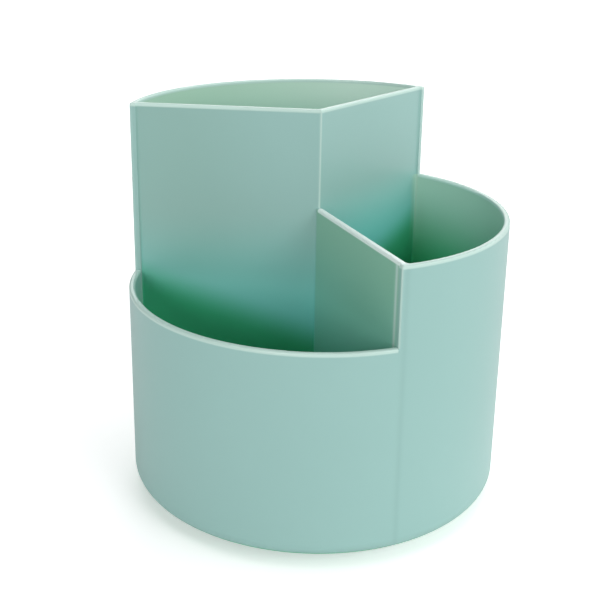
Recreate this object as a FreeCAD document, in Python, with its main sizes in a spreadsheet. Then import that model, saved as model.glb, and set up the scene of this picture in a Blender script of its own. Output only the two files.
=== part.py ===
"""Rotating desk organizer with three open wells, as a parametric FreeCAD document (millimetres, +Z up).

The origin is on the desk, on the axis that the holder turns about. A round base plate stands on four
rubber pads. Twelve steel balls in a cage run between a track in the base plate and a track under the
moulded organizer body, and a shoulder screw from below holds the two together.
"""

import FreeCAD, Part
import math
import os

import Sketcher

# ---------------------------------------------------------------------------------------------------
# Driving dimensions: alias, value, what it measures (millimetres, or degrees where it says so)
# ---------------------------------------------------------------------------------------------------

DRIVING_SIZES = [
    # organizer body
    ("body_radius", 70.0, "outer wall, outside"),
    ("wall", 2.2, "outer wall thickness"),
    ("divider", 2.2, "divider thickness"),
    ("floor", 2.5, "floor thickness"),
    ("tall_height", 140.0, "tall rim above the body's underside"),
    ("middle_height", 103.5, "middle rim above the body's underside"),
    ("low_height", 75.5, "low rim above the body's underside"),
    ("bottom_round", 5.0, "rounding between outer wall and underside"),
    ("corner_round", 1.2, "rounding where the dividers meet the outer wall"),
    ("floor_round", 1.0, "rounding where the wells' walls meet the floor"),
    ("rim_round", 0.7, "rounding along the rims and down the outer wall's ends"),
    ("front_round", 0.5, "rounding down the tall well's front corner"),
    ("wall_return", 0.8, "how far a taller wall's end stands proud of its divider"),
    ("body_turn", 54.0, "direction of the divider between the tall and middle wells (degrees)"),
    ("recess_depth", 5.5, "recess under the body that takes the base plate"),
    ("step_wall", 2.2, "wall round that recess"),
    # ball track
    ("race_inset", 28.0, "centre of the ball track inside the body's outer wall"),
    ("race_depth", 1.0, "depth of each track"),
    ("race_clearance", 0.05, "between a ball and each track"),
    ("groove_relief", 0.3, "track section radius over ball radius"),
    ("land_width", 10.0, "raised ring that the track is cut in"),
    ("upper_land_drop", 2.0, "upper ring, down from the recess ceiling"),
    ("lower_land_rise", 1.0, "lower ring, up from the base plate"),
    ("ball_diameter", 5.0, "steel ball"),
    ("ball_count", 12, "balls in the cage"),
    ("pocket_clearance", 0.15, "between a ball and its pocket"),
    ("cage_edge", 1.5, "cage beside a ball, inwards and outwards"),
    ("cage_gap", 0.5, "between the cage and each raised ring"),
    # base plate
    ("base_thickness", 2.5, "base plate"),
    ("rim_side_gap", 1.0, "between the raised ring and the base plate's upturned rim"),
    ("rim_thickness", 2.0, "upturned rim"),
    ("rim_gap", 1.5, "between the upturned rim and the recess ceiling"),
    ("base_clearance", 2.0, "between the base plate and the recess wall"),
    ("base_edge", 0.8, "rounding of the base plate's lower edge"),
    # pivot
    ("shoulder_radius", 3.0, "screw shoulder"),
    ("thread_radius", 1.9, "screw thread, cut into the boss"),
    ("thread_length", 9.0, "screw thread"),
    ("head_radius", 5.0, "screw head"),
    ("head_thickness", 1.8, "screw head"),
    ("head_lift", 0.2, "screw head above the base plate's underside"),
    ("drive_width", 1.1, "arms of the cross recess in the head"),
    ("drive_span", 5.2, "cross recess, tip to tip"),
    ("drive_depth", 1.2, "cross recess"),
    ("washer_radius", 6.0, "washer, outside"),
    ("washer_thickness", 0.8, "washer"),
    ("washer_clearance", 0.15, "between the washer and the shoulder"),
    ("seat_clearance", 0.5, "between the washer and its counterbore"),
    ("axial_play", 0.2, "between the washer and the hub"),
    ("bearing_clearance", 0.05, "between the shoulder and the bush"),
    ("bush_wall", 1.45, "bush sleeve"),
    ("bush_length", 2.3, "bush inside the hub"),
    ("bush_flange", 0.8, "flange thickness"),
    ("flange_width", 2.0, "flange beyond the sleeve"),
    ("hub_wall", 1.8, "hub round the counterbore"),
    ("boss_gap", 0.3, "between the bush flange and the boss"),
    ("boss_wall", 3.6, "boss round the thread"),
    ("boss_cap", 1.7, "boss over the end of the pilot hole"),
    ("pilot_extra", 1.0, "pilot hole beyond the thread"),
    # anti-slip pads
    ("pad_radius", 6.0, "pad"),
    ("pad_thickness", 2.0, "pad"),
    ("pad_seat_depth", 1.0, "pad seat in the base plate"),
    ("pad_clearance", 0.1, "between a pad and its seat"),
    ("pad_edge", 0.4, "rounding of the pad's lower edge"),
    ("pad_count", 4, "pads"),
]


def size(alias):
    """Expression text for one driving dimension."""
    return "Sizes." + alias


# ---------------------------------------------------------------------------------------------------
# Derived dimensions, as expression text over the sheet. Each group says where its heights start.
# ---------------------------------------------------------------------------------------------------

RACE_RADIUS = "(Sizes.body_radius - Sizes.race_inset)"
BALL_RADIUS = "(Sizes.ball_diameter / 2)"
GROOVE_RADIUS = f"({BALL_RADIUS} + Sizes.groove_relief)"
LAND_INNER = f"({RACE_RADIUS} - Sizes.land_width / 2)"
LAND_OUTER = f"({RACE_RADIUS} + Sizes.land_width / 2)"
BASE_INNER = f"({LAND_OUTER} + Sizes.rim_side_gap)"
BASE_RADIUS = f"({BASE_INNER} + Sizes.rim_thickness)"
RECESS_RADIUS = f"({BASE_RADIUS} + Sizes.base_clearance)"

# base plate, from its own underside
BASE_LIFT = "(Sizes.pad_thickness - Sizes.pad_seat_depth)"
LOWER_LAND = "(Sizes.base_thickness + Sizes.lower_land_rise)"
LOWER_GROOVE = f"({LOWER_LAND} - Sizes.race_depth)"
COUNTERBORE_DEPTH = (
    "(Sizes.head_lift + Sizes.head_thickness + Sizes.washer_thickness + Sizes.axial_play)"
)
COUNTERBORE_RADIUS = "(Sizes.washer_radius + Sizes.seat_clearance)"
HUB_RADIUS = f"({COUNTERBORE_RADIUS} + Sizes.hub_wall)"
HUB_HEIGHT = f"({COUNTERBORE_DEPTH} + Sizes.bush_length)"
BUSH_BORE = "(Sizes.shoulder_radius + Sizes.bearing_clearance)"
BUSH_RADIUS = f"({BUSH_BORE} + Sizes.bush_wall)"

# heights above the desk
BALL_HEIGHT = f"({BASE_LIFT} + {LOWER_GROOVE} + Sizes.race_clearance + {BALL_RADIUS})"
UPPER_GROOVE_HEIGHT = f"({BALL_HEIGHT} + {BALL_RADIUS} + Sizes.race_clearance)"
CEILING_HEIGHT = f"({UPPER_GROOVE_HEIGHT} - Sizes.race_depth + Sizes.upper_land_drop)"
BODY_LIFT = f"({CEILING_HEIGHT} - Sizes.recess_depth)"
BOSS_LIFT = f"({BASE_LIFT} + {HUB_HEIGHT} + Sizes.bush_flange + Sizes.boss_gap)"
SCREW_LIFT = f"({BASE_LIFT} + Sizes.head_lift)"
SHOULDER_LENGTH = f"({BOSS_LIFT} - {SCREW_LIFT} - Sizes.head_thickness)"
WASHER_LIFT = f"({SCREW_LIFT} + Sizes.head_thickness)"

# base plate's upturned rim, from the plate's underside
BASE_RIM_HEIGHT = f"({CEILING_HEIGHT} - Sizes.rim_gap - {BASE_LIFT})"

# organizer body, from its own underside
UPPER_LAND = "(Sizes.recess_depth - Sizes.upper_land_drop)"
UPPER_GROOVE = f"({UPPER_LAND} + Sizes.race_depth)"
RAISED_FLOOR = "(Sizes.recess_depth + Sizes.floor)"
RAISED_RADIUS = f"({RECESS_RADIUS} + Sizes.step_wall)"
BOSS_BOTTOM = f"({BOSS_LIFT} - {BODY_LIFT})"
BOSS_RADIUS = "(Sizes.thread_radius + Sizes.boss_wall)"
PILOT_DEPTH = "(Sizes.thread_length + Sizes.pilot_extra)"
BOSS_HEIGHT = f"({PILOT_DEPTH} + Sizes.boss_cap)"
WELL_OFFSET = "(Sizes.divider / 2)"
WINDOW_OFFSET = "(Sizes.divider / 2 + Sizes.wall_return)"
WELL_RADIUS = "(Sizes.body_radius - Sizes.wall)"
BEYOND_WALL = "(Sizes.body_radius + Sizes.wall)"
FRONT_CORNER = "(Sizes.divider / 2 / sin(60 deg))"
RIM_ROUND = "min(Sizes.rim_round; Sizes.wall / 3; Sizes.divider / 3)"

# cage
CAGE_THICKNESS = (
    "(Sizes.ball_diameter + 2 * Sizes.race_clearance - 2 * Sizes.race_depth - 2 * Sizes.cage_gap)"
)
CAGE_HALF_WIDTH = f"({BALL_RADIUS} + Sizes.cage_edge)"

SECTOR = 120.0  # three equal wells share the circle
TOLERANCE = 1e-4
PROBE = 0.02  # step off an edge to see what stands beside it


# ---------------------------------------------------------------------------------------------------
# Document helpers
# ---------------------------------------------------------------------------------------------------

def make_sheet(doc):
    """Spreadsheet that holds every driving dimension under its alias."""
    sheet = doc.addObject("Spreadsheet::Sheet", "Sizes")
    for row, (alias, value, note) in enumerate(DRIVING_SIZES, start=1):
        sheet.set(f"A{row}", alias)
        sheet.set(f"B{row}", str(value))
        sheet.setAlias(f"B{row}", alias)
        sheet.set(f"C{row}", note)
    doc.recompute()
    return sheet


def value_of(doc, expression):
    """Number that an expression over the sheet gives now."""
    return float(doc.Sizes.evalExpression(expression.replace("Sizes.", "")))


def new_body(doc, label):
    """PartDesign body of one piece; its label is the node's name."""
    body = doc.addObject("PartDesign::Body", label)
    body.Label = label
    return body


def lift(piece, height):
    """Sets the piece's own underside at a height above the desk."""
    piece.setExpression("Placement.Base.z", height)


def origin_plane(body, role):
    """One of the body's own origin planes, by its role."""
    for feature in body.Origin.OriginFeatures:
        if feature.Role == role:
            return feature
    raise LookupError(f"{body.Label} has no {role}")


def new_sketch(body, name, role, height=None, turn=None):
    """Sketch on an origin plane of the body, raised by height and turned about the plane's normal."""
    sketch = body.newObject("Sketcher::SketchObject", name)
    sketch.AttachmentSupport = [(origin_plane(body, role), "")]
    sketch.MapMode = "FlatFace"
    if height is not None:
        sketch.setExpression("AttachmentOffset.Base.z", height)
    if turn is not None:
        sketch.setExpression("AttachmentOffset.Rotation.Angle", turn)
    return sketch


def bind(sketch, constraint, expression):
    """Adds a dimensional constraint and ties it to the sheet."""
    index = sketch.addConstraint(constraint)
    sketch.setExpression(f"Constraints[{index}]", expression)


def pin_point(doc, sketch, geometry, end, across, up):
    """Places one end of a line by its two coordinates, each an expression or "0" for on the axis."""
    for kind, axis, expression in (("DistanceX", -2, across), ("DistanceY", -1, up)):
        if expression == "0":
            sketch.addConstraint(Sketcher.Constraint("PointOnObject", geometry, end, axis))
        else:
            place = value_of(doc, expression)
            bind(sketch, Sketcher.Constraint(kind, -1, 1, geometry, end, place), expression)


def outline(doc, sketch, corners):
    """Closed outline of straight runs through corners given as pairs of expressions."""
    places = [FreeCAD.Vector(value_of(doc, x), value_of(doc, y), 0) for x, y in corners]
    count = len(corners)
    for start in range(count):
        sketch.addGeometry(Part.LineSegment(places[start], places[(start + 1) % count]))
    for start in range(count):
        sketch.addConstraint(Sketcher.Constraint("Coincident", start, 2, (start + 1) % count, 1))
    for start, (across, up) in enumerate(corners):
        pin_point(doc, sketch, start, 1, across, up)


def circle(doc, sketch, radius, across="0", up="0"):
    """Circle of a given radius about a point given by two expressions."""
    centre = FreeCAD.Vector(value_of(doc, across), value_of(doc, up), 0)
    index = sketch.addGeometry(
        Part.Circle(centre, FreeCAD.Vector(0, 0, 1), value_of(doc, radius))
    )
    pin_point(doc, sketch, index, 3, across, up)
    bind(sketch, Sketcher.Constraint("Radius", index, value_of(doc, radius)), radius)


def sector(doc, sketch, offset, radius):
    """Sector about the sketch's X axis: two sides parallel to dividers 60 degrees either side, one arc.

    Each side keeps the distance offset from its divider's middle plane, and the arc is centred on the
    origin.
    """
    half_angle = math.radians(SECTOR / 2)
    gap = value_of(doc, offset)
    reach = value_of(doc, radius)
    tip = FreeCAD.Vector(gap / math.sin(half_angle), 0, 0)
    swing = half_angle - math.asin(gap / reach)
    ends = [
        FreeCAD.Vector(reach * math.cos(sign * swing), reach * math.sin(sign * swing), 0)
        for sign in (-1, 1)
    ]
    origin = FreeCAD.Vector(0, 0, 0)
    rim = Part.Circle(origin, FreeCAD.Vector(0, 0, 1), reach)
    lower = sketch.addGeometry(Part.LineSegment(tip, ends[0]))
    arc = sketch.addGeometry(Part.ArcOfCircle(rim, -swing, swing))
    upper = sketch.addGeometry(Part.LineSegment(ends[1], tip))
    sketch.addConstraint(Sketcher.Constraint("Coincident", lower, 2, arc, 1))
    sketch.addConstraint(Sketcher.Constraint("Coincident", arc, 2, upper, 1))
    sketch.addConstraint(Sketcher.Constraint("Coincident", upper, 2, lower, 1))
    sketch.addConstraint(Sketcher.Constraint("Coincident", arc, 3, -1, 1))
    sketch.addConstraint(Sketcher.Constraint("PointOnObject", lower, 1, -1))
    bind(sketch, Sketcher.Constraint("Radius", arc, reach), radius)
    for line in (lower, upper):
        bind(sketch, Sketcher.Constraint("Distance", -1, 1, line, gap), offset)
    sketch.addConstraint(Sketcher.Constraint("Angle", lower, 1, upper, 2, 2 * half_angle))


def extrude(body, kind, name, sketch, length, upwards=True):
    """Pad or Pocket of a sketch, its length tied to the sheet.

    A pad runs along the sketch's normal and a pocket against it, so "upwards" sets Reversed for both.
    """
    feature = body.newObject("PartDesign::" + kind, name)
    feature.Profile = sketch
    feature.setExpression("Length", length)
    feature.Reversed = upwards == (kind == "Pocket")
    return feature


def turn_profile(body, kind, name, sketch):
    """Revolution or Groove of a sketch, a full turn about its upright axis."""
    feature = body.newObject("PartDesign::" + kind, name)
    feature.Profile = sketch
    feature.ReferenceAxis = (sketch, ["V_Axis"])
    feature.Angle = 360.0
    return feature


def round_edges(doc, body, name, keep, radius):
    """Fillet on the edges of the body's present shape that keep(edge) picks."""
    doc.recompute()
    tip = body.Tip
    names = [
        f"Edge{number}" for number, edge in enumerate(tip.Shape.Edges, start=1) if keep(edge)
    ]
    fillet = body.newObject("PartDesign::Fillet", name)
    fillet.Base = (tip, names)
    fillet.setExpression("Radius", radius)
    return fillet


def ring_pattern(doc, body, name, feature, count):
    """Repeats a feature evenly round the body's upright axis."""
    pattern = body.newObject("PartDesign::PolarPattern", name)
    pattern.Originals = [feature]
    pattern.Axis = (origin_plane(body, "Z_Axis"), [""])
    pattern.Angle = 360.0
    pattern.setExpression("Occurrences", count)
    body.Tip = pattern
    doc.recompute()
    return pattern


def is_level(edge, height):
    """True for an edge that lies flat at one height."""
    box = edge.BoundBox
    return abs(box.ZMin - height) < TOLERANCE and abs(box.ZMax - height) < TOLERANCE


def is_upright(edge):
    """True for a straight edge along Z."""
    return edge.Length > TOLERANCE and abs(edge.Length - edge.BoundBox.ZLength) < TOLERANCE


def middle_of(edge):
    """Parameter and point halfway along an edge."""
    parameter = (edge.FirstParameter + edge.LastParameter) / 2
    return parameter, edge.valueAt(parameter)


def radius_at(edge):
    """Distance from the axis to the middle of an edge."""
    _, middle = middle_of(edge)
    return math.hypot(middle.x, middle.y)


def is_open_above(edge, shape):
    """True for a level edge with nothing standing on either side of it."""
    parameter, middle = middle_of(edge)
    along = edge.tangentAt(parameter)
    beside = FreeCAD.Vector(-along.y, along.x, 0).normalize() * PROBE
    above = FreeCAD.Vector(0, 0, PROBE)
    return not any(
        shape.isInside(middle + side + above, TOLERANCE, True) for side in (beside, -beside)
    )


# ---------------------------------------------------------------------------------------------------
# Organizer body: one moulding
# ---------------------------------------------------------------------------------------------------

def make_organizer_body(doc):
    """Round cup with three wells at three heights, a raised floor, a ball track and a screw boss.

    In the body's own frame the divider between the tall and middle wells points along +X. The tall
    well is centred 60 degrees on from it, the low well on -X and the middle well 60 degrees back.
    """
    body = new_body(doc, "organizer_body")
    add_cup(doc, body)
    add_underside(doc, body)
    lower_the_rims(doc, body)
    round_the_rims(doc, body)
    lift(body, BODY_LIFT)
    body.setExpression("Placement.Rotation.Angle", size("body_turn"))
    return body


def add_cup(doc, body):
    """Solid cylinder with a rounded foot, and the three wells sunk in it to full depth."""
    disc = new_sketch(body, "cup_outline", "XY_Plane")
    circle(doc, disc, size("body_radius"))
    extrude(body, "Pad", "cup", disc, size("tall_height"))
    round_edges(doc, body, "cup_foot", lambda edge: is_level(edge, 0.0), size("bottom_round"))

    plan = new_sketch(body, "well_plan", "XY_Plane", size("tall_height"), str(SECTOR / 2))
    sector(doc, plan, WELL_OFFSET, WELL_RADIUS)
    depth = "Sizes.tall_height - Sizes.floor"
    well = extrude(body, "Pocket", "well", plan, depth, upwards=False)
    doc.recompute()
    ring_pattern(doc, body, "wells", well, "3")

    floor_height = value_of(doc, size("floor"))
    inside_wall = value_of(doc, WELL_RADIUS)

    def is_wall_corner(edge):
        return is_upright(edge) and inside_wall / 2 < radius_at(edge) < inside_wall + TOLERANCE

    round_edges(doc, body, "well_corners", is_wall_corner, size("corner_round"))
    round_edges(
        doc,
        body,
        "well_floor_edges",
        lambda edge: is_level(edge, floor_height),
        size("floor_round"),
    )


def add_underside(doc, body):
    """Raised floor over the recess, upper ball track and screw boss."""
    raised = new_sketch(body, "raised_floor_plan", "XY_Plane")
    circle(doc, raised, RAISED_RADIUS)
    extrude(body, "Pad", "raised_floor", raised, RAISED_FLOOR)

    hollow = new_sketch(body, "recess_plan", "XY_Plane")
    circle(doc, hollow, RECESS_RADIUS)
    extrude(body, "Pocket", "recess", hollow, size("recess_depth"))

    land = new_sketch(body, "upper_land_plan", "XY_Plane", UPPER_LAND)
    circle(doc, land, LAND_INNER)
    circle(doc, land, LAND_OUTER)
    extrude(body, "Pad", "upper_land", land, size("upper_land_drop"))

    track = new_sketch(body, "upper_track_section", "XZ_Plane")
    circle(doc, track, GROOVE_RADIUS, RACE_RADIUS, f"{UPPER_GROOVE} - {GROOVE_RADIUS}")
    turn_profile(body, "Groove", "upper_track", track)

    boss = new_sketch(body, "boss_plan", "XY_Plane", BOSS_BOTTOM)
    circle(doc, boss, BOSS_RADIUS)
    extrude(body, "Pad", "boss", boss, BOSS_HEIGHT)

    pilot = new_sketch(body, "pilot_plan", "XY_Plane", BOSS_BOTTOM)
    circle(doc, pilot, size("thread_radius"))
    extrude(body, "Pocket", "pilot_hole", pilot, PILOT_DEPTH)
    doc.recompute()


def lower_the_rims(doc, body):
    """Cuts the outer wall and one divider down, so that the wells end at their own heights."""
    # Above the middle rim only the tall well is left. The cut follows the faces of its two dividers
    # from the corner where they meet, and steps aside for the outer wall's ends, which stand proud.
    step = "(Sizes.body_radius / 2)"
    far = "(2 * Sizes.body_radius)"
    flank = [
        beside_divider(WELL_OFFSET, step),
        beside_divider(WINDOW_OFFSET, step),
        beside_divider(WINDOW_OFFSET, far),
        (far, far),
    ]
    upper = new_sketch(body, "upper_cut_plan", "XY_Plane", size("tall_height"), str(-SECTOR))
    mirrored = [(across, f"-{up}") for across, up in reversed(flank)]
    outline(doc, upper, [(FRONT_CORNER, "0"), *flank, *mirrored])
    drop = "Sizes.tall_height - Sizes.middle_height"
    extrude(body, "Pocket", "upper_cut", upper, drop, upwards=False)

    # Between the low and middle rims the low well's outer wall is cut away.
    window = new_sketch(
        body, "low_window_plan", "XY_Plane", size("middle_height"), str(3 * SECTOR / 2)
    )
    sector(doc, window, WINDOW_OFFSET, BEYOND_WALL)
    drop = "Sizes.middle_height - Sizes.low_height"
    extrude(body, "Pocket", "low_window", window, drop, upwards=False)
    doc.recompute()


def beside_divider(offset, along):
    """Point beside a tall divider, in a sketch whose X axis lies along the front divider.

    The tall dividers point 120 degrees either side of X. The point is this far along the upper one's
    middle plane, and offset from it towards X.
    """
    across = f"({offset} * sin(120 deg) + {along} * cos(120 deg))"
    up = f"({along} * sin(120 deg) - {offset} * cos(120 deg))"
    return across, up


def round_the_rims(doc, body):
    """Rounds the tall well's front corner, then every rim and the outer wall's free ends."""
    outer = value_of(doc, size("body_radius"))
    corner = value_of(doc, FRONT_CORNER)
    rims = [value_of(doc, size(f"{well}_height")) for well in ("low", "middle", "tall")]

    def is_free_upright(edge, distance):
        above_low_rim = edge.BoundBox.ZMin > rims[0] - TOLERANCE
        return is_upright(edge) and above_low_rim and abs(radius_at(edge) - distance) < TOLERANCE

    def is_rim_or_wall_end(edge):
        on_rim = any(is_level(edge, rim) for rim in rims)
        return (on_rim and is_open_above(edge, body.Tip.Shape)) or is_free_upright(edge, outer)

    round_edges(
        doc, body, "front_corner", lambda edge: is_free_upright(edge, corner), size("front_round")
    )
    round_edges(doc, body, "rims", is_rim_or_wall_end, RIM_ROUND)


# ---------------------------------------------------------------------------------------------------
# Base plate and its pads
# ---------------------------------------------------------------------------------------------------

def make_base_plate(doc):
    """Shallow dish with the lower ball track, the pivot's hub and seats for the pads."""
    body = new_body(doc, "base_plate")
    section = new_sketch(body, "dish_section", "XZ_Plane")
    outline(
        doc,
        section,
        [
            (COUNTERBORE_RADIUS, "0"),
            (BASE_RADIUS, "0"),
            (BASE_RADIUS, BASE_RIM_HEIGHT),
            (BASE_INNER, BASE_RIM_HEIGHT),
            (BASE_INNER, size("base_thickness")),
            (LAND_OUTER, size("base_thickness")),
            (LAND_OUTER, LOWER_LAND),
            (LAND_INNER, LOWER_LAND),
            (LAND_INNER, size("base_thickness")),
            (HUB_RADIUS, size("base_thickness")),
            (HUB_RADIUS, HUB_HEIGHT),
            (BUSH_RADIUS, HUB_HEIGHT),
            (BUSH_RADIUS, COUNTERBORE_DEPTH),
            (COUNTERBORE_RADIUS, COUNTERBORE_DEPTH),
        ],
    )
    turn_profile(body, "Revolution", "dish", section)

    track = new_sketch(body, "lower_track_section", "XZ_Plane")
    circle(doc, track, GROOVE_RADIUS, RACE_RADIUS, f"{LOWER_GROOVE} + {GROOVE_RADIUS}")
    turn_profile(body, "Groove", "lower_track", track)

    outer = value_of(doc, BASE_RADIUS)
    round_edges(
        doc,
        body,
        "lower_edge",
        lambda edge: is_level(edge, 0.0) and abs(radius_at(edge) - outer) < TOLERANCE,
        size("base_edge"),
    )

    seat_plan = new_sketch(body, "pad_seat_plan", "XY_Plane", turn=f"180 / {size('pad_count')}")
    circle(doc, seat_plan, "(Sizes.pad_radius + Sizes.pad_clearance)", RACE_RADIUS)
    seat = extrude(body, "Pocket", "pad_seat", seat_plan, size("pad_seat_depth"))
    doc.recompute()
    ring_pattern(doc, body, "pad_seats", seat, size("pad_count"))
    lift(body, BASE_LIFT)
    return body


def make_pad(doc, number):
    """Round rubber pad under the ball track, with a softened lower edge."""
    body = new_body(doc, f"anti_slip_pad_{number}")
    disc = new_sketch(body, f"pad_{number}_plan", "XY_Plane")
    circle(doc, disc, size("pad_radius"))
    extrude(body, "Pad", f"pad_{number}_disc", disc, size("pad_thickness"))
    round_edges(
        doc,
        body,
        f"pad_{number}_edge",
        lambda edge: is_level(edge, 0.0),
        size("pad_edge"),
    )
    place_on_ring(body, number, size("pad_count"), first="0.5")
    return body


def place_on_ring(piece, number, count, first="0"):
    """Places a piece on the ball track's circle, the first one a share of a step from +X."""
    angle = f"(({number - 1} + {first}) * 360 deg / {count})"
    piece.setExpression("Placement.Base.x", f"{RACE_RADIUS} * cos({angle})")
    piece.setExpression("Placement.Base.y", f"{RACE_RADIUS} * sin({angle})")


# ---------------------------------------------------------------------------------------------------
# Ball bearing
# ---------------------------------------------------------------------------------------------------

def make_ball(doc, number):
    """One steel ball on the track's circle."""
    name = f"bearing_ball_{number:02d}"
    ball = doc.addObject("Part::Sphere", name)
    ball.Label = name
    ball.setExpression("Radius", BALL_RADIUS)
    place_on_ring(ball, number, size("ball_count"))
    lift(ball, BALL_HEIGHT)
    return ball


def make_ball_cage(doc):
    """Flat ring with a round pocket for each ball."""
    body = new_body(doc, "ball_cage")
    ring = new_sketch(body, "cage_plan", "XY_Plane")
    circle(doc, ring, f"({RACE_RADIUS} - {CAGE_HALF_WIDTH})")
    circle(doc, ring, f"({RACE_RADIUS} + {CAGE_HALF_WIDTH})")
    extrude(body, "Pad", "cage_ring", ring, CAGE_THICKNESS)

    pocket_plan = new_sketch(body, "ball_pocket_plan", "XY_Plane")
    circle(doc, pocket_plan, f"({BALL_RADIUS} + Sizes.pocket_clearance)", RACE_RADIUS)
    pocket = extrude(body, "Pocket", "ball_pocket", pocket_plan, CAGE_THICKNESS)
    doc.recompute()
    ring_pattern(doc, body, "ball_pockets", pocket, size("ball_count"))
    lift(body, f"{BALL_HEIGHT} - {CAGE_THICKNESS} / 2")
    return body


# ---------------------------------------------------------------------------------------------------
# Pivot
# ---------------------------------------------------------------------------------------------------

def make_pivot_bush(doc):
    """Flanged plastic sleeve pressed into the hub from above."""
    body = new_body(doc, "pivot_bush")
    flange_radius = f"({BUSH_RADIUS} + Sizes.flange_width)"
    flange_top = "(Sizes.bush_length + Sizes.bush_flange)"
    section = new_sketch(body, "bush_section", "XZ_Plane")
    outline(
        doc,
        section,
        [
            (BUSH_BORE, "0"),
            (BUSH_RADIUS, "0"),
            (BUSH_RADIUS, size("bush_length")),
            (flange_radius, size("bush_length")),
            (flange_radius, flange_top),
            (BUSH_BORE, flange_top),
        ],
    )
    turn_profile(body, "Revolution", "bush", section)
    lift(body, f"{BASE_LIFT} + {COUNTERBORE_DEPTH}")
    return body


def make_pivot_screw(doc):
    """Pan-head shoulder screw with a cross recess, head down."""
    body = new_body(doc, "pivot_screw")
    shoulder_top = f"(Sizes.head_thickness + {SHOULDER_LENGTH})"
    tip = f"({shoulder_top} + Sizes.thread_length)"
    point = "(Sizes.thread_radius / 2)"
    section = new_sketch(body, "screw_section", "XZ_Plane")
    outline(
        doc,
        section,
        [
            ("0", "0"),
            (size("head_radius"), "0"),
            (size("head_radius"), size("head_thickness")),
            (size("shoulder_radius"), size("head_thickness")),
            (size("shoulder_radius"), shoulder_top),
            (size("thread_radius"), shoulder_top),
            (size("thread_radius"), f"({tip} - {point})"),
            (point, tip),
            ("0", tip),
        ],
    )
    turn_profile(body, "Revolution", "shank", section)
    head = value_of(doc, size("head_radius"))
    round_edges(
        doc,
        body,
        "head_edge",
        lambda edge: is_level(edge, 0.0) and abs(radius_at(edge) - head) < TOLERANCE,
        "Sizes.head_thickness / 2",
    )

    half_span = "(Sizes.drive_span / 2)"
    half_width = "(Sizes.drive_width / 2)"
    for number, (reach, breadth) in enumerate(
        ((half_span, half_width), (half_width, half_span)), start=1
    ):
        slot = new_sketch(body, f"drive_slot_{number}_plan", "XY_Plane")
        corners = [(1, -1), (1, 1), (-1, 1), (-1, -1)]
        outline(
            doc,
            slot,
            [
                (reach if x > 0 else f"-{reach}", breadth if y > 0 else f"-{breadth}")
                for x, y in corners
            ],
        )
        extrude(body, "Pocket", f"drive_slot_{number}", slot, size("drive_depth"))
    lift(body, SCREW_LIFT)
    return body


def make_pivot_washer(doc):
    """Flat steel washer that rides on the screw's head."""
    body = new_body(doc, "pivot_washer")
    ring = new_sketch(body, "washer_plan", "XY_Plane")
    circle(doc, ring, "(Sizes.shoulder_radius + Sizes.washer_clearance)")
    circle(doc, ring, size("washer_radius"))
    extrude(body, "Pad", "washer", ring, size("washer_thickness"))
    lift(body, WASHER_LIFT)
    return body


# ---------------------------------------------------------------------------------------------------
# Assembly, checks and files
# ---------------------------------------------------------------------------------------------------

def make_pieces(doc):
    """Every piece of the organizer, in its place."""
    pieces = [
        make_organizer_body(doc),
        make_base_plate(doc),
        make_ball_cage(doc),
        make_pivot_bush(doc),
        make_pivot_screw(doc),
        make_pivot_washer(doc),
    ]
    ball_count = round(value_of(doc, size("ball_count")))
    pad_count = round(value_of(doc, size("pad_count")))
    pieces += [make_ball(doc, number) for number in range(1, ball_count + 1)]
    pieces += [make_pad(doc, number) for number in range(1, pad_count + 1)]
    doc.recompute()
    return pieces


def check(doc, pieces):
    """Stops at the first object that failed to compute, or piece that isn't one sound solid."""
    for thing in doc.Objects:
        if "Invalid" in thing.State or "Error" in thing.State:
            raise RuntimeError(f"{thing.Label} did not compute: {thing.State}")
        if thing.TypeId in ("PartDesign::Pocket", "PartDesign::Groove"):
            before = thing.BaseFeature.Shape.Volume
            if before - thing.Shape.Volume < TOLERANCE:
                raise RuntimeError(f"{thing.Label} cuts nothing")
    for piece in pieces:
        shape = piece.Shape
        if shape.isNull() or not shape.isValid() or len(shape.Solids) != 1:
            raise RuntimeError(f"{piece.Label} is not one sound solid")


def write(pieces):
    """Writes each piece to a STEP file of its own name."""
    os.makedirs("parts", exist_ok=True)
    for piece in pieces:
        piece.Shape.exportStep(f"parts/{piece.Label}.step")
        box = piece.Shape.BoundBox
        print(f"{piece.Label}: {piece.Shape.Volume:.1f} mm3, z {box.ZMin:.2f} to {box.ZMax:.2f}")


def main():
    """Builds the document and writes its pieces."""
    doc = FreeCAD.newDocument("rotating_organizer")
    make_sheet(doc)
    pieces = make_pieces(doc)
    check(doc, pieces)
    write(pieces)


main()
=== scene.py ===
"""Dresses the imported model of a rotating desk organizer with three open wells.

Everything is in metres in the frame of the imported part: +Z up along the turning axis, and the
origin on the desk. The moulded body, its base plate, the ball bearing between them, the pivot
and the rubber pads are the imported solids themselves. Each wears a finish that is worked out in
its own object's coordinates, so that the finish turns with it.
"""

import logging
import math
from collections.abc import Mapping
from dataclasses import dataclass, field
from enum import Enum
from typing import Any, Union

import bpy
from mathutils import Matrix, Vector


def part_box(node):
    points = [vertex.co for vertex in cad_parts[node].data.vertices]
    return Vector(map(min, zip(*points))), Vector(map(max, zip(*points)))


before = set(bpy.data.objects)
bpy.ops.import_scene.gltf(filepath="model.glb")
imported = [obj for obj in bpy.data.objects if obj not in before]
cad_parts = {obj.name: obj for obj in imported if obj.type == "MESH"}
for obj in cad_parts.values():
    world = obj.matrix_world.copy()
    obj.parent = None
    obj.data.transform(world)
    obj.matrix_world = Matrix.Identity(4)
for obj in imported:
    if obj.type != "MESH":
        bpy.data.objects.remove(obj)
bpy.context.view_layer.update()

Colour = tuple[float, float, float]
Point = tuple[float, float, float]
Operand = Union["Value", float, int]
Paint = Union[Colour, bpy.types.NodeSocket]

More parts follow.
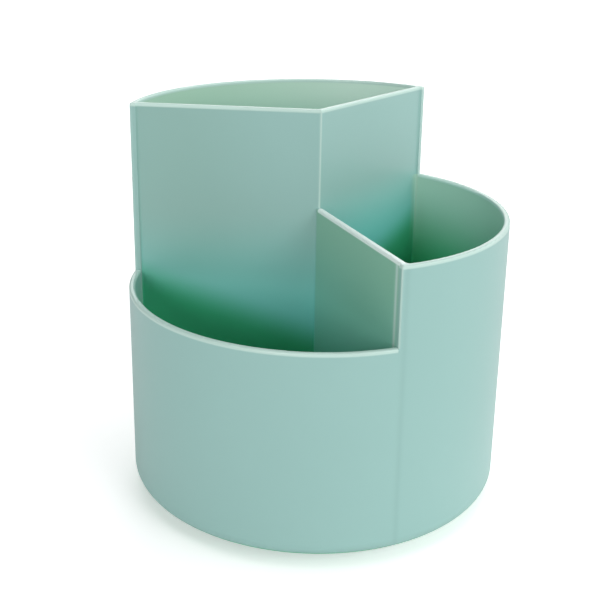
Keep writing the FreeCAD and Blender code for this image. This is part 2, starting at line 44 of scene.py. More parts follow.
LOG = logging.getLogger("organizer")
MILLIMETRE = 0.001
WELL_SPAN = 120.0
WHITE: Colour = (1.0, 1.0, 1.0)
BLACK: Colour = (0.0, 0.0, 0.0)

# Where the Mix node keeps its share, its two colours and the mixed colour.
MIX_SHARE, MIX_FIRST, MIX_SECOND = 0, 6, 7
MIX_RESULT = 2


# -------------------------------------------------------------------------------------------
# Materials: nodes written as expressions
# -------------------------------------------------------------------------------------------


class Value:
    """A number carried by a socket; arithmetic on it adds Math nodes to its graph."""

    def __init__(self, graph: "Graph", socket: bpy.types.NodeSocket) -> None:
        """Wraps an output socket of the graph."""
        self.graph = graph
        self.socket = socket

    def math(self, operation: str, *operands: Operand) -> "Value":
        """Adds one Math node.

        Args:
            operation: Blender's name of the operation.
            operands: values or numbers, in the node's order.

        Returns:
            The node's result.
        """
        node = self.graph.node(
            "ShaderNodeMath", {"operation": operation}, dict(enumerate(operands))
        )
        return Value(self.graph, node.outputs[0])

    def __add__(self, other: Operand) -> "Value":
        """self + other."""
        return self.math("ADD", self, other)

    def __radd__(self, other: Operand) -> "Value":
        """other + self."""
        return self.math("ADD", other, self)

    def __sub__(self, other: Operand) -> "Value":
        """self - other."""
        return self.math("SUBTRACT", self, other)

    def __rsub__(self, other: Operand) -> "Value":
        """other - self."""
        return self.math("SUBTRACT", other, self)

    def __mul__(self, other: Operand) -> "Value":
        """self * other."""
        return self.math("MULTIPLY", self, other)

    def __rmul__(self, other: Operand) -> "Value":
        """other * self."""
        return self.math("MULTIPLY", other, self)

    def __truediv__(self, other: Operand) -> "Value":
        """self / other."""
        return self.math("DIVIDE", self, other)

    def __pow__(self, other: Operand) -> "Value":
        """self ** other."""
        return self.math("POWER", self, other)

    def __neg__(self) -> "Value":
        """-self."""
        return self.math("MULTIPLY", self, -1.0)

    def __gt__(self, other: Operand) -> "Value":
        """1 where self is over other, else 0."""
        return self.math("GREATER_THAN", self, other)

    def __lt__(self, other: Operand) -> "Value":
        """1 where self is under other, else 0."""
        return self.math("LESS_THAN", self, other)

    def __or__(self, other: Operand) -> "Value":
        """The greater of self and other."""
        return self.math("MAXIMUM", self, other)

    def __ror__(self, other: Operand) -> "Value":
        """The greater of other and self."""
        return self.math("MAXIMUM", other, self)

    def root(self) -> "Value":
        """Square root of self."""
        return self.math("SQRT", self)

    def exp(self) -> "Value":
        """e to the power of self."""
        return self.math("EXPONENT", self)

    def rise(self, start: float, end: float) -> "Value":
        """0 up to start, 1 from end on, and a smooth step between."""
        node = self.graph.node(
            "ShaderNodeMapRange",
            {"interpolation_type": "SMOOTHSTEP"},
            {"Value": self, "From Min": start, "From Max": end},
        )
        return Value(self.graph, node.outputs[0])


class Mixing(Enum):
    """Ways of mixing two colours."""

    PLAIN = "MIX"
    MULTIPLY = "MULTIPLY"


class ShaderTree:
    """A tree of shader nodes that is being written."""

    def __init__(self, tree: bpy.types.NodeTree) -> None:
        """Starts with the tree emptied."""
        self.tree = tree
        self.tree.nodes.clear()

    def node(
        self,
        kind: str,
        settings: Mapping[str, Any] | None = None,
        inputs: Mapping[str | int, Any] | None = None,
    ) -> bpy.types.Node:
        """Adds a node.

        Args:
            kind: Blender's class name of the node.
            settings: its own properties, set first.
            inputs: numbers, colours, values or sockets for its sockets, by name or number.

        Returns:
            The new node.
        """
        node = self.tree.nodes.new(kind)
        for name, setting in (settings or {}).items():
            setattr(node, name, setting)
        for name, given in (inputs or {}).items():
            self._feed(node.inputs[name], given)
        return node

    def _feed(self, socket: bpy.types.NodeSocket, given: Any) -> None:
        """Gives an input socket its link, its colour or its number.

        Args:
            socket: the input socket.
            given: a value or another socket to link it to, or a colour or a number.
        """
        source = given.socket if isinstance(given, Value) else given
        if isinstance(source, bpy.types.NodeSocket):
            self.tree.links.new(source, socket)
        elif socket.type == "RGBA":
            socket.default_value = (*source, 1.0)
        else:
            socket.default_value = source


class Graph(ShaderTree):
    """Node tree of one material."""

    def __init__(self, name: str) -> None:
        """Starts an empty material.

        Args:
            name: the material's name.
        """
        self.material = bpy.data.materials.new(name)
        self.material.use_nodes = True
        super().__init__(self.material.node_tree)
        self.place = self.node("ShaderNodeTexCoord").outputs["Object"]

    def split_place(self) -> tuple[Value, Value, Value]:
        """The point's own X, Y and Z in metres."""
        parts = self.node("ShaderNodeSeparateXYZ", inputs={"Vector": self.place})
        return tuple(Value(self, socket) for socket in parts.outputs)

    def noise(self, feature: float, detail: float = 2.0) -> Value:
        """Adds noise.

        Args:
            feature: width of its features, in metres.
            detail: number of finer layers.

        Returns:
            The noise's strength, between 0 and 1.
        """
        node = self.node(
            "ShaderNodeTexNoise",
            inputs={"Vector": self.place, "Scale": 1.0 / feature, "Detail": detail},
        )
        return Value(self, node.outputs[0])

    def blend(
        self, share: Operand, first: Paint, second: Paint, mixing: Mixing = Mixing.PLAIN
    ) -> bpy.types.NodeSocket:
        """Mixes two colours.

        Args:
            share: how much the second counts: 0 gives the first alone.
            first: colour or link.
            second: colour or link.
            mixing: the way they are mixed.

        Returns:
            The mixed colour's socket.
        """
        node = self.node(
            "ShaderNodeMix",
            {"data_type": "RGBA", "blend_type": mixing.value},
            {MIX_SHARE: share, MIX_FIRST: first, MIX_SECOND: second},
        )
        return node.outputs[MIX_RESULT]

    def bump(
        self, height: Value, depth: float, below: bpy.types.NodeSocket | None = None
    ) -> bpy.types.NodeSocket:
        """Turns a relief into a normal.

        Args:
            height: the relief, 0 to 1.
            depth: how deep 0 lies under 1, in metres.
            below: normal of a relief that this one lies on.

        Returns:
            The normal's socket.
        """
        inputs = {"Height": height, "Distance": depth, "Strength": 1.0}
        if below is not None:
            inputs["Normal"] = below
        return self.node("ShaderNodeBump", inputs=inputs).outputs["Normal"]

    def finish(self, **sockets: Any) -> bpy.types.Material:
        """Ends the graph in a Principled shader.

        Args:
            sockets: what its sockets get, their names with underscores for spaces.

        Returns:
            The material.
        """
        shader = self.node(
            "ShaderNodeBsdfPrincipled",
            inputs={name.replace("_", " "): given for name, given in sockets.items()},
        )
        self.node("ShaderNodeOutputMaterial", inputs={"Surface": shader.outputs[0]})
        return self.material


# -------------------------------------------------------------------------------------------
# The body's plan
# -------------------------------------------------------------------------------------------


class Well(Enum):
    """The three wells; each value is the direction of the divider on its clockwise side."""

    TALL = 54.0
    LOW = 174.0
    MIDDLE = 294.0


@dataclass(frozen=True)
class BodyPlan:
    """Where the body's walls, dividers and rims are, in metres."""

    outer_radius: float
    tall_rim: float
    middle_rim: float
    low_rim: float
    wall: float
    divider: float
    wall_return: float

    def rim(self, well: Well) -> float:
        """Height of a well's rim."""
        rims = {Well.TALL: self.tall_rim, Well.MIDDLE: self.middle_rim, Well.LOW: self.low_rim}
        return rims[well]

    @property
    def inner_radius(self) -> float:
        """Radius of the outer wall's inside."""
        return self.outer_radius - self.wall

    @property
    def face(self) -> float:
        """Distance from a divider's middle plane to its face."""
        return self.divider / 2.0

    @property
    def proud(self) -> float:
        """Distance from a divider's middle plane to the end of the taller wall."""
        return self.face + self.wall_return

    @property
    def corner(self) -> float:
        """Distance from the axis to the corner that two dividers' faces make."""
        return self.face / math.sin(math.radians(WELL_SPAN / 2.0))


class Spot:
    """The shaded point, measured against the body's plan."""

    def __init__(self, graph: Graph, plan: BodyPlan) -> None:
        """Splits the point's place into its parts.

        Args:
            graph: the material's graph.
            plan: the body's plan.
        """
        self.plan = plan
        self.x, self.y, self.height = graph.split_place()
        self.radius = (self.x * self.x + self.y * self.y).root()

    def along(self, direction: float) -> Value:
        """How far out along a direction, in degrees, the point lies."""
        angle = math.radians(direction)
        return self.x * math.cos(angle) + self.y * math.sin(angle)

    def beside(self, direction: float) -> Value:
        """How far the point lies from the line in that direction, anticlockwise positive."""
        angle = math.radians(direction)
        return self.y * math.cos(angle) - self.x * math.sin(angle)

    def in_well(self, well: Well, margin: float) -> Value:
        """1 between a well's two dividers, where both are more than the margin away, else 0."""
        far_side = well.value + WELL_SPAN
        return (self.beside(well.value) > margin) * (self.beside(far_side) < -margin)

    def on_wall(self, margin: float) -> Value:
        """1 on the outer wall and up to the margin inside it, else 0."""
        return self.radius > self.plan.inner_radius - margin

    def over_front(self) -> Value:
        """1 over the front divider, clear of the axis, else 0."""
        aside, clear = self.beside(Well.MIDDLE.value), self.plan.divider
        return (aside > -clear) * (aside < clear) * (self.along(Well.MIDDLE.value) > clear)

    def near_upright(self, direction: float, out: float, aside: float, reach: float) -> Value:
        """Finds an upright line.

        Args:
            direction: direction that the line's place is measured along, in degrees.
            out: distance of the line along that direction.
            aside: distance of the line from that direction, anticlockwise positive.
            reach: distance at which the result has fallen to about a third.

        Returns:
            1 on the line, falling to 0 round it.
        """
        ahead = (self.along(direction) - out) / reach
        off = (self.beside(direction) - aside) / reach
        return (-(ahead * ahead + off * off)).exp()


# -------------------------------------------------------------------------------------------
# Finishes
# -------------------------------------------------------------------------------------------


@dataclass(frozen=True)
class MouldedPlastic:
    """Satin injection-moulded plastic with a fine spark texture and a slightly uneven surface.

    grain, wave, drift and cloud are the widths of the texture, of the unevenness, of the
    colour's drift where the melt cooled unevenly, and of the clouds in the gloss.
    """

    name: str
    colour: Colour
    shade: Colour
    roughness: float = 0.34
    roughness_swing: float = 0.06
    grain: float = 0.35 * MILLIMETRE
    grain_depth: float = 0.006 * MILLIMETRE
    wave: float = 14.0 * MILLIMETRE
    wave_depth: float = 0.05 * MILLIMETRE
    drift: float = 45.0 * MILLIMETRE
    cloud: float = 22.0 * MILLIMETRE
    specular: float = 0.5

    def relief(self, graph: Graph) -> bpy.types.NodeSocket:
        """Normal of the slow waves with the grain on them."""
        waves = graph.bump(graph.noise(self.wave, detail=1.0), self.wave_depth)
        return graph.bump(graph.noise(self.grain, detail=1.0), self.grain_depth, waves)

    def tint(self, graph: Graph) -> bpy.types.NodeSocket:
        """Colour, drifting a little between the shade and the full colour."""
        return graph.blend(graph.noise(self.drift, detail=3.0), self.shade, self.colour)

    def material(self) -> bpy.types.Material:
        """Builds the material.

        Returns:
            The material.
        """
        graph = Graph(self.name)
        gloss = self.roughness + (graph.noise(self.cloud) - 0.5) * self.roughness_swing
        return graph.finish(
            Base_Color=self.tint(graph),
            Roughness=gloss,
            Normal=self.relief(graph),
            Specular_IOR_Level=self.specular,
        )


@dataclass(frozen=True)
class WellShade:
    """How the colour changes down one well, in metres below its rim.

    cool_start is where the dividers' faces begin to turn cooler. Painted shade on them begins at
    shade_start by the outer wall, and lower by shade_slope for each metre further in.
    """

    well: Well
    cool_start: float
    shade_start: float
    shade_slope: float


@dataclass(frozen=True)
class BodyPlastic(MouldedPlastic):
    """The body's plastic.

    It has painted highlights along its narrow edges and painted light down the outer wall's
    inside just under the rims. Down in the wells, painted shade turns it cooler and then darker.
    The front divider's face has a greener painted shade, and the tall well's divider has painted
    shade, a little darker towards its outer end. The outer wall has shallow sink marks where the
    dividers meet it, with painted shade along them.
    """

    plan: BodyPlan = field(kw_only=True)

    # Painted highlight colours of the edges, and how the rims, the upright edges and the front
    # line are laid out.
    pale: Colour = (0.55, 0.74, 0.68)
    top_highlight: Colour = (0.84, 0.97, 0.93)
    band_start: float = 1.5 * MILLIMETRE
    band_end: float = 0.9 * MILLIMETRE
    rim_margin: float = 0.2 * MILLIMETRE
    side_margin: float = 0.1 * MILLIMETRE
    edge_reach: float = 0.42 * MILLIMETRE
    edge_inset: float = 0.2 * MILLIMETRE
    end_reach: float = 0.35 * MILLIMETRE
    end_share: float = 0.35
    line_reach: float = 0.9 * MILLIMETRE
    line_inset: float = 3.0 * MILLIMETRE
    line_drop: float = 4.4 * MILLIMETRE

    # Painted light on the outer wall's inside, down to painted_light_to under the rims, paler
    # towards the tall well's right.
    lit: Colour = (0.47, 0.70, 0.55)
    lit_right: Colour = (0.76, 0.95, 0.84)
    lit_from: float = -60.0 * MILLIMETRE
    lit_to: float = 45.0 * MILLIMETRE
    painted_light_to: float = 38.0 * MILLIMETRE
    painted_light_ease: float = 4.4 * MILLIMETRE
    tall_painted_light: float = 0.9
    middle_painted_light: float = 0.7

    # Painted shade down in the wells, cooler and then darker colours, full at cool_full and
    # deep_full under the rims.
    cool_shade: Colour = (0.20, 0.70, 0.66)
    deep: Colour = (0.07, 0.55, 0.30)
    deep_wall: Colour = (0.075, 0.62, 0.28)
    shades: tuple[WellShade, ...] = (
        WellShade(Well.TALL, 0.0, 12.0 * MILLIMETRE, 0.35),
        WellShade(Well.LOW, -28.0 * MILLIMETRE, -4.0 * MILLIMETRE, 0.33),
        WellShade(Well.MIDDLE, -8.0 * MILLIMETRE, 12.0 * MILLIMETRE, 0.35),
    )
    cool_full: float = 24.0 * MILLIMETRE
    deep_full: float = 45.0 * MILLIMETRE
    shade_lead: float = 3.0 * MILLIMETRE
    shade_soft: float = 12.0 * MILLIMETRE
    deep_ease: float = 0.35
    ease_end: float = 72.0 * MILLIMETRE
    wall_margin: float = 0.4 * MILLIMETRE
    within_wall: float = 0.5
    within_divider: float = 0.4

    # Painted shade on the dividers' faces on the low well's side: greener on the front divider,
    # darker towards the tall well's divider's outer end.
    front_face_shade: Colour = (0.27, 0.545, 0.41)
    front_drop: float = 12.0 * MILLIMETRE
    front_loss: float = 0.5
    left_painted_shade: Colour = (0.85, 0.87, 0.84)
    left_from: float = 5.0 * MILLIMETRE
    left_to: float = 55.0 * MILLIMETRE
    corner: float = 1.3 * MILLIMETRE

    # Sunk lines down the outer wall: a shallow relief, and sunk, a painted shade along them.
    sunk: Colour = (0.27, 0.47, 0.44)
    sink_shade_share: float = 0.4
    sink_half_width: float = 1.1 * MILLIMETRE
    sink_depth: float = 0.05 * MILLIMETRE
    skin: float = 0.4 * MILLIMETRE

    def rim_band(self, spot: Spot, well: Well) -> Value:
        """Rises to 1 just under the height of a well's rim, and stays 1 above it."""
        top = self.plan.rim(well)
        return spot.height.rise(top - self.band_start, top - self.band_end)

    def rims(self, spot: Spot) -> Value:
        """Finds where highlights are painted: the rims of the outer wall and the tops of the
        dividers.

        Args:
            spot: the shaded point.

        Returns:
            1 along them, else 0.
        """
        proud = self.plan.proud
        on_wall = spot.on_wall(self.rim_margin)
        low = on_wall * spot.in_well(Well.LOW, proud + self.side_margin)
        past_front = spot.beside(Well.MIDDLE.value) > -proud - self.side_margin
        middle = on_wall * past_front * (spot.beside(Well.TALL.value) < -proud)
        return (
            self.rim_band(spot, Well.LOW) * low
            | self.rim_band(spot, Well.MIDDLE) * (middle | spot.over_front())
            | self.rim_band(spot, Well.TALL)
        )

    def front_top(self, spot: Spot) -> Value:
        """Finds the front divider's top, which gets the brightest painted highlight.

        Args:
            spot: the shaded point.

        Returns:
            1 along it, else 0.
        """
        inward = spot.radius < self.plan.inner_radius
        under_tall = spot.height < self.plan.middle_rim + self.band_end
        return self.rim_band(spot, Well.MIDDLE) * spot.over_front() * inward * under_tall

    def uprights(self, spot: Spot) -> Value:
        """Finds where highlights are painted: the upright edges and the line beside the front
        divider's end.

        Args:
            spot: the shaded point.

        Returns:
            1 on a sharp edge, less on a blunt one, falling to 0 round them.
        """
        plan, front = self.plan, Well.MIDDLE.value
        over_low = spot.height > plan.low_rim
        over_middle = spot.height > plan.middle_rim - plan.divider
        over_line = spot.height > plan.low_rim - self.line_drop
        end, aside = plan.outer_radius - self.skin, plan.proud - self.edge_inset
        line_out = plan.inner_radius - self.line_inset
        tall_corner = spot.near_upright(front, plan.corner, 0.0, self.edge_reach)
        front_end = spot.near_upright(front, end, -aside, self.end_reach)
        front_line = spot.near_upright(front, line_out, -plan.face, self.line_reach)
        left_end = spot.near_upright(Well.LOW.value, end, aside, self.edge_reach)
        right_end = spot.near_upright(Well.TALL.value, end, -aside, self.edge_reach)
        sharp = tall_corner * over_middle | front_end * over_low | front_line * over_line
        return sharp | (left_end * over_low | right_end * over_middle) * self.end_share

    def depth(self, spot: Spot) -> tuple[Value, Value]:
        """Works out how far down in a well the point is.

        Args:
            spot: the shaded point.

        Returns:
            Two shares of painted shade, 0 outside the wells and high up in them: how much cooler
            the dividers' faces have turned, and how darkly shaded the point is.
        """
        plan = self.plan
        on_wall = spot.on_wall(self.wall_margin)
        on_front = self.on_front(spot)
        inward = plan.outer_radius - spot.radius
        cool_shade: Operand = 0.0
        deep: Operand = 0.0
        for shade in self.shades:
            down = plan.rim(shade.well) - spot.height
            under = down - (inward * shade.shade_slope + shade.shade_start)
            if shade.well is Well.LOW:
                under = under - on_front * self.front_drop
            on_divider = under.rise(-self.shade_lead, self.shade_soft)
            on_outer = down.rise(0.0, self.deep_full)
            ease = 1.0 - self.deep_ease * down.rise(self.deep_full, self.ease_end)
            here = self.inside(spot, shade.well) * ease
            cool_shade = cool_shade | down.rise(shade.cool_start, self.cool_full) * (1.0 - on_wall) * here
            deep = deep | (on_divider + (on_outer - on_divider) * on_wall) * here
        return cool_shade * (1.0 - self.front_loss * on_front), deep

    def on_front(self, spot: Spot) -> Value:
        """Finds the low well's side of the front divider, where a greener shade is painted.

        Args:
            spot: the shaded point.

        Returns:
            1 on it, else 0; it turns over in the corners.
        """
        face = self.plan.face
        past_corner = spot.beside(Well.LOW.value).rise(face, face + self.corner)
        on_face = spot.beside(Well.MIDDLE.value).rise(-face - self.corner, -face)
        return past_corner * on_face * self.inside(spot, Well.LOW)

    def on_left(self, spot: Spot) -> Value:
        """Finds the outer part of the tall well's divider on the low well's side, where shade is
        painted.

        Args:
            spot: the shaded point.

        Returns:
            1 at its outer end, falling to 0 towards the axis, and 0 elsewhere.
        """
        face = self.plan.face
        on_face = 1.0 - spot.beside(Well.LOW.value).rise(face, face + self.corner)
        outward = spot.along(Well.LOW.value).rise(self.left_from, self.left_to)
        return on_face * outward * self.inside(spot, Well.LOW)

    def painted_light_under_rims(self, spot: Spot) -> Value:
        """Works out how much painted light the outer wall's inside gets under its rims.

        Args:
            spot: the shaded point.

        Returns:
            The share of the painted light colour.
        """
        inner = self.plan.inner_radius
        on_wall = spot.radius.rise(inner - self.painted_light_ease, inner)
        found: Operand = 0.0
        for well, share in ((Well.TALL, self.tall_painted_light), (Well.MIDDLE, self.middle_painted_light)):
            down = self.plan.rim(well) - spot.height
            near = (1.0 - down.rise(0.0, self.painted_light_to)) * (down > 0.0)
            found = found | near * self.inside(spot, well) * on_wall * share
        return found

    def inside(self, spot: Spot, well: Well) -> Value:
        """1 on a well's own walls and floor, else 0; it turns over within the walls."""
        within = spot.radius < self.plan.outer_radius - self.within_wall * self.plan.wall
        return spot.in_well(well, self.within_divider * self.plan.divider) * within

    def sink(self, spot: Spot) -> Value:
        """Finds the sunk lines down the outer wall.

        Args:
            spot: the shaded point.

        Returns:
            1 down the middle of each line, falling to 0 beside it.
        """
        outside = spot.radius > self.plan.outer_radius - self.skin
        lines: Operand = 0.0
        for well in Well:
            off = spot.beside(well.value) / self.sink_half_width
            lines = lines | (-(off * off)).exp() * (spot.along(well.value) > 0.0)
        return lines * outside

    def tint(self, graph: Graph) -> bpy.types.NodeSocket:
        """Colours the body.

        Args:
            graph: the material's graph.

        Returns:
            The colour: the drift of the melt, then painted shade in the wells and painted light
                under
            the rims, then painted shade along the sunk lines and painted highlights on the
            edges.
        """
        spot = Spot(graph, self.plan)
        cool_shade, deep = self.depth(spot)
        # Painted shade: the front divider's face on the low well's side is greener.
        plain = graph.blend(self.on_front(spot), super().tint(graph), self.front_face_shade)
        # Painted shade in the wells: the dividers' faces turn cooler, then everything darker
        # further down.
        faces = graph.blend(cool_shade, plain, self.cool_shade)
        deep_shade = graph.blend(spot.on_wall(self.wall_margin), self.deep, self.deep_wall)
        wells = graph.blend(deep, faces, deep_shade)
        # Painted shade, darker towards the outer end of the tall well's divider.
        shaded = graph.blend(self.on_left(spot), wells, self.left_painted_shade, Mixing.MULTIPLY)
        # Painted light on the outer wall's inside under the rims, paler towards the right of the
        # tall well.
        rightward = spot.x.rise(self.lit_from, self.lit_to) * self.inside(spot, Well.TALL)
        lit = graph.blend(rightward, self.lit, self.lit_right)
        lit_under_rims = graph.blend(self.painted_light_under_rims(spot), shaded, lit)
        # Painted shade along the sunk lines.
        sink_shaded = graph.blend(self.sink(spot) * self.sink_shade_share, lit_under_rims, self.sunk)
        # Painted highlights along the rims, the upright edges and the line beside the front
        # divider's end, brightest on the front divider's top.
        highlighted = graph.blend(self.rims(spot) | self.uprights(spot), sink_shaded, self.pale)
        return graph.blend(self.front_top(spot), highlighted, self.top_highlight)

    def relief(self, graph: Graph) -> bpy.types.NodeSocket:
        """Shapes the surface.

        Args:
            graph: the material's graph.

        Returns:
            Normal of the waves, the sunk lines and the grain.
        """
        waves = graph.bump(graph.noise(self.wave, detail=1.0), self.wave_depth)
        sunk = graph.bump(1.0 - self.sink(Spot(graph, self.plan)), self.sink_depth, waves)
        return graph.bump(graph.noise(self.grain, detail=1.0), self.grain_depth, sunk)


@dataclass(frozen=True)
class Rubber:
    """Dull rubber with a coarse moulded grip and dust in it.

    grip and dust_width are the widths of the pebbles and of the dusty patches; a higher
    dust_bite keeps the dust to fewer places; shine is how much smoother a pebble's rim is.
    """

    name: str
    colour: Colour
    dust: Colour
    roughness: float = 0.8
    shine: float = 0.15
    grip: float = 0.9 * MILLIMETRE
    grip_softness: float = 0.4
    grip_depth: float = 0.08 * MILLIMETRE
    dust_width: float = 4.0 * MILLIMETRE
    dust_bite: float = 3.0
    specular: float = 0.3

    def material(self) -> bpy.types.Material:
        """Builds the material.

        Returns:
            The material.
        """
        graph = Graph(self.name)
        cells = graph.node(
            "ShaderNodeTexVoronoi",
            {"feature": "SMOOTH_F1"},
            {
                "Vector": graph.place,
                "Scale": 1.0 / self.grip,
                "Smoothness": self.grip_softness,
            },
        )
        pebbles = Value(graph, cells.outputs["Distance"])
        dusty = graph.noise(self.dust_width, detail=4.0) ** self.dust_bite
        return graph.finish(
            Base_Color=graph.blend(dusty, self.colour, self.dust),
            Roughness=self.roughness - self.shine * pebbles,
            Normal=graph.bump(1.0 - pebbles, self.grip_depth),
            Specular_IOR_Level=self.specular,
        )


@dataclass(frozen=True)
class Steel:
    """Bare or plated steel, with fine scratches and a clouded shine.

    The roughness runs from smoothest to smoothest + swing times its own value.
    """

    name: str
    colour: Colour
    cloud: Colour
    roughness: float
    smoothest: float = 0.8
    swing: float = 0.4
    cloud_width: float = 1.6 * MILLIMETRE
    scratch: float = 0.2 * MILLIMETRE
    scratch_depth: float = 0.002 * MILLIMETRE

    def material(self) -> bpy.types.Material:
        """Builds the material.

        Returns:
            The material.
        """
        graph = Graph(self.name)
        clouds = graph.noise(self.cloud_width, detail=4.0)
        return graph.finish(
            Base_Color=graph.blend(clouds, self.cloud, self.colour),
            Roughness=self.roughness * (self.smoothest + self.swing * clouds),
            Metallic=1.0,
            Normal=graph.bump(graph.noise(self.scratch, detail=3.0), self.scratch_depth),
        )


# -------------------------------------------------------------------------------------------
# Sub-assemblies
# -------------------------------------------------------------------------------------------


class Slot(Enum):
    """Material slots of the record."""

    MINT = "mint_plastic"
    BASE = "base_plastic"
    CAGE = "cage_plastic"
    BUSH = "bush_plastic"
    BALL = "ball_steel"
    ZINC = "zinc_steel"
    RUBBER = "pad_rubber"


@dataclass
class Piece:
    """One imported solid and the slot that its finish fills."""

    node: str
    slot: Slot

    def dress(self, material: bpy.types.Material) -> None:
        """Puts a finish on the solid.

        Args:
            material: the finish.
        """
        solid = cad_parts[self.node]
        solid.data.materials.clear()
        solid.data.materials.append(material)
        LOG.info("%s wears %s", self.node, material.name)


@dataclass
class OrganizerBody:
    """The moulded cup with its three wells."""

    node: str = "organizer_body"
    colour: Colour = (0.335, 0.56, 0.525)
    shade: Colour = (0.32, 0.545, 0.51)
    middle_rim: float = 107.6 * MILLIMETRE
    low_rim: float = 79.6 * MILLIMETRE
    wall: float = 2.2 * MILLIMETRE
    divider: float = 2.2 * MILLIMETRE
    wall_return: float = 0.8 * MILLIMETRE

    def build(self) -> None:
        """Dresses the body by the plan that its own box and its walls give."""
        _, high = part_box(self.node)
        plan = BodyPlan(
            outer_radius=high.x,
            tall_rim=high.z,
            middle_rim=self.middle_rim,
            low_rim=self.low_rim,
            wall=self.wall,
            divider=self.divider,
            wall_return=self.wall_return,
        )
        finish = BodyPlastic("mint_satin", self.colour, self.shade, plan=plan)
        Piece(self.node, Slot.MINT).dress(finish.material())


@dataclass
class Turntable:
    """Base plate and its anti-slip pads."""

    pad_count: int = 4
    base_colour: Colour = (0.315, 0.53, 0.495)
    base_shade: Colour = (0.295, 0.505, 0.47)
    base_roughness: float = 0.5
    pad_colour: Colour = (0.035, 0.036, 0.038)
    pad_dust: Colour = (0.09, 0.09, 0.088)

    def build(self) -> None:
        """Dresses the plate and the pads."""
        plate = MouldedPlastic(
            "base_satin", self.base_colour, self.base_shade, self.base_roughness
        )
        Piece("base_plate", Slot.BASE).dress(plate.material())
        rubber = Rubber("pad_rubber_grip", self.pad_colour, self.pad_dust).material()
        for number in range(1, self.pad_count + 1):
            Piece(f"anti_slip_pad_{number}", Slot.RUBBER).dress(rubber)


@dataclass
class BallBearing:
    """Cage and steel balls."""

    ball_count: int = 12
    cage_colour: Colour = (0.72, 0.71, 0.66)
    cage_shade: Colour = (0.66, 0.65, 0.60)
    ball_colour: Colour = (0.62, 0.63, 0.65)
    ball_cloud: Colour = (0.50, 0.51, 0.53)
    ball_roughness: float = 0.16

    def build(self) -> None:
        """Dresses the cage and the balls."""
        nylon = MouldedPlastic("nylon_natural", self.cage_colour, self.cage_shade)
        Piece("ball_cage", Slot.CAGE).dress(nylon.material())
        steel = Steel(
            "bearing_steel", self.ball_colour, self.ball_cloud, self.ball_roughness
        ).material()
        for number in range(1, self.ball_count + 1):
            Piece(f"bearing_ball_{number:02d}", Slot.BALL).dress(steel)


@dataclass
class Pivot:
    """Shoulder screw, washer and bush."""

    bush_colour: Colour = (0.80, 0.80, 0.77)
    bush_shade: Colour = (0.75, 0.75, 0.72)
    bush_roughness: float = 0.3
    zinc_colour: Colour = (0.60, 0.62, 0.64)
    zinc_cloud: Colour = (0.46, 0.48, 0.52)
    zinc_roughness: float = 0.32

    def build(self) -> None:
        """Dresses the three pieces."""
        acetal = MouldedPlastic(
            "acetal_white", self.bush_colour, self.bush_shade, self.bush_roughness
        )
        Piece("pivot_bush", Slot.BUSH).dress(acetal.material())
        zinc = Steel(
            "zinc_plate", self.zinc_colour, self.zinc_cloud, self.zinc_roughness
        ).material()
        for node in ("pivot_screw", "pivot_washer"):
            Piece(node, Slot.ZINC).dress(zinc)


# -------------------------------------------------------------------------------------------
# Studio
# -------------------------------------------------------------------------------------------


@dataclass(frozen=True)
class Softbox:
    """Soft light from far away, so that it is as strong on the floor as on the object.

    azimuth 0 is in front and 90 to the right; it, the elevation and the spread are in degrees.
    """

    name: str
    azimuth: float
    elevation: float
    spread: float
    strength: float

    def build(self) -> None:
        """Hangs the light."""
        lamp = bpy.data.lights.new(self.name, "SUN")
        lamp.angle = math.radians(self.spread)
        lamp.energy = self.strength
        holder = bpy.data.objects.new(self.name, lamp)
        turn, rise = math.radians(self.azimuth), math.radians(self.elevation)
        away = Vector(
            (
                math.sin(turn) * math.cos(rise),
                -math.cos(turn) * math.cos(rise),
                math.sin(rise),
            )
        )
        holder.rotation_euler = (-away).to_track_quat("-Z", "Y").to_euler()
        bpy.context.scene.collection.objects.link(holder)


@dataclass(frozen=True)
class Viewpoint:
    """Camera of the main view; lens and sensor are in millimetres, angles in degrees."""

    name: str = "main_view"
    lens: float = 61.29
    sensor: float = 36.0
    place: Point = (0.0, -0.3709, 0.2138)
    pitch: float = 18.069
    yaw: float = -0.621
    roll: float = 1.218
    shift: float = -0.0997
    nearest: float = 0.01
    furthest: float = 20.0

    def build(self) -> None:
        """Sets the scene's camera."""
        lens = bpy.data.cameras.new(self.name)
        lens.lens = self.lens
        lens.sensor_width = self.sensor
        lens.shift_y = self.shift
        lens.clip_start = self.nearest
        lens.clip_end = self.furthest
        camera = bpy.data.objects.new(self.name, lens)
        turn = (
            Matrix.Rotation(math.radians(90.0 - self.pitch), 4, "X")
            @ Matrix.Rotation(math.radians(-self.yaw), 4, "Y")
            @ Matrix.Rotation(math.radians(self.roll), 4, "Z")
        )
        camera.matrix_world = Matrix.Translation(self.place) @ turn
        bpy.context.scene.collection.objects.link(camera)
        bpy.context.scene.camera = camera


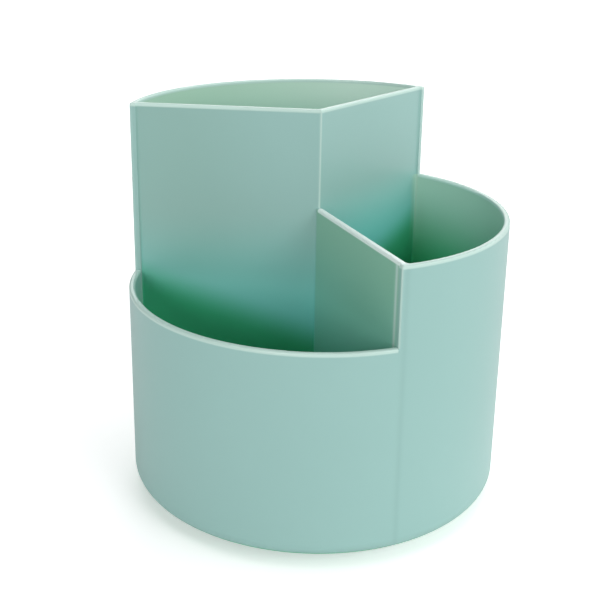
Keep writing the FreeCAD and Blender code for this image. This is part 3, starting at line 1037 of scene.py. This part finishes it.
@dataclass
class Studio:
    """Pale floor, soft lights and a white surround."""

    floor_radius: float = 3.0
    floor_sides: int = 96
    floor_colour: Colour = (0.94, 0.94, 0.94)
    floor_roughness: float = 0.95
    floor_specular: float = 0.1
    floor_light: float = 0.42
    speckle_width: float = 3.0 * MILLIMETRE
    speckle_share: float = 0.985
    surround: Colour = WHITE
    ambient: float = 0.03
    viewpoint: Viewpoint = Viewpoint()
    lights: tuple[Softbox, ...] = (
        Softbox("front_light", -20.0, 15.0, 25.0, 1.15),
        Softbox("front_left_light", -45.0, 32.0, 25.0, 0.11),
        Softbox("front_right_light", 45.0, 32.0, 25.0, 0.76),
        Softbox("right_light", 70.0, 32.0, 30.0, 0.46),
        Softbox("side_right_light", 100.0, 15.0, 50.0, 1.06),
        Softbox("side_left_light", -100.0, 15.0, 50.0, 0.30),
        Softbox("back_right_light", 135.0, 30.0, 40.0, 0.50),
        Softbox("back_light", 180.0, 30.0, 40.0, 1.01),
        Softbox("top_light", 0.0, 86.0, 40.0, 0.60),
    )

    def build(self) -> None:
        """Builds the floor, the surround, the lights and the camera."""
        self._floor()
        self._surround()
        for light in self.lights:
            light.build()
        self.viewpoint.build()

    def _floor(self) -> None:
        """Lays a plain round floor at the height of the pads' undersides."""
        turns = [math.tau * step / self.floor_sides for step in range(self.floor_sides)]
        ring = [
            (self.floor_radius * math.cos(turn), self.floor_radius * math.sin(turn), 0.0)
            for turn in turns
        ]
        mesh = bpy.data.meshes.new("studio_floor")
        mesh.from_pydata(ring, [], [list(range(self.floor_sides))])
        floor = bpy.data.objects.new("studio_floor", mesh)
        mesh.materials.append(self._paper())
        bpy.context.scene.collection.objects.link(floor)

    def _paper(self) -> bpy.types.Material:
        """Builds the floor's paper, which is white to look at and pale as a light.

        Returns:
            The material.
        """
        graph = Graph("floor_paper")
        speckle = graph.noise(self.speckle_width, detail=2.0)
        seen = Value(graph, graph.node("ShaderNodeLightPath").outputs["Is Camera Ray"])
        darker = tuple(self.speckle_share * part for part in self.floor_colour)
        return graph.finish(
            Base_Color=graph.blend(speckle, darker, self.floor_colour),
            Roughness=self.floor_roughness,
            Specular_IOR_Level=self.floor_specular,
            Emission_Color=graph.blend(seen, BLACK, WHITE),
            Emission_Strength=self.floor_light,
        )

    def _surround(self) -> None:
        """Makes the world white to look at, and dimmer as a light."""
        world = bpy.data.worlds.new("surround")
        bpy.context.scene.world = world
        world.use_nodes = True
        sky = ShaderTree(world.node_tree)
        seen = sky.node("ShaderNodeBackground", inputs={"Color": self.surround})
        lit = sky.node(
            "ShaderNodeBackground",
            inputs={"Color": self.surround, "Strength": self.ambient},
        )
        path = sky.node("ShaderNodeLightPath")
        choice = sky.node(
            "ShaderNodeMixShader",
            inputs={0: path.outputs["Is Camera Ray"], 1: lit.outputs[0], 2: seen.outputs[0]},
        )
        sky.node("ShaderNodeOutputWorld", inputs={"Surface": choice.outputs[0]})


def main() -> None:
    """Builds the sub-assemblies in order, then the studio."""
    logging.basicConfig(level=logging.INFO, format="%(name)s: %(message)s")
    bpy.context.scene.view_settings.view_transform = "Standard"
    for assembly in (OrganizerBody(), Turntable(), BallBearing(), Pivot(), Studio()):
        assembly.build()
        LOG.info("%s is ready", type(assembly).__name__)


if __name__ == "__main__":
    main()
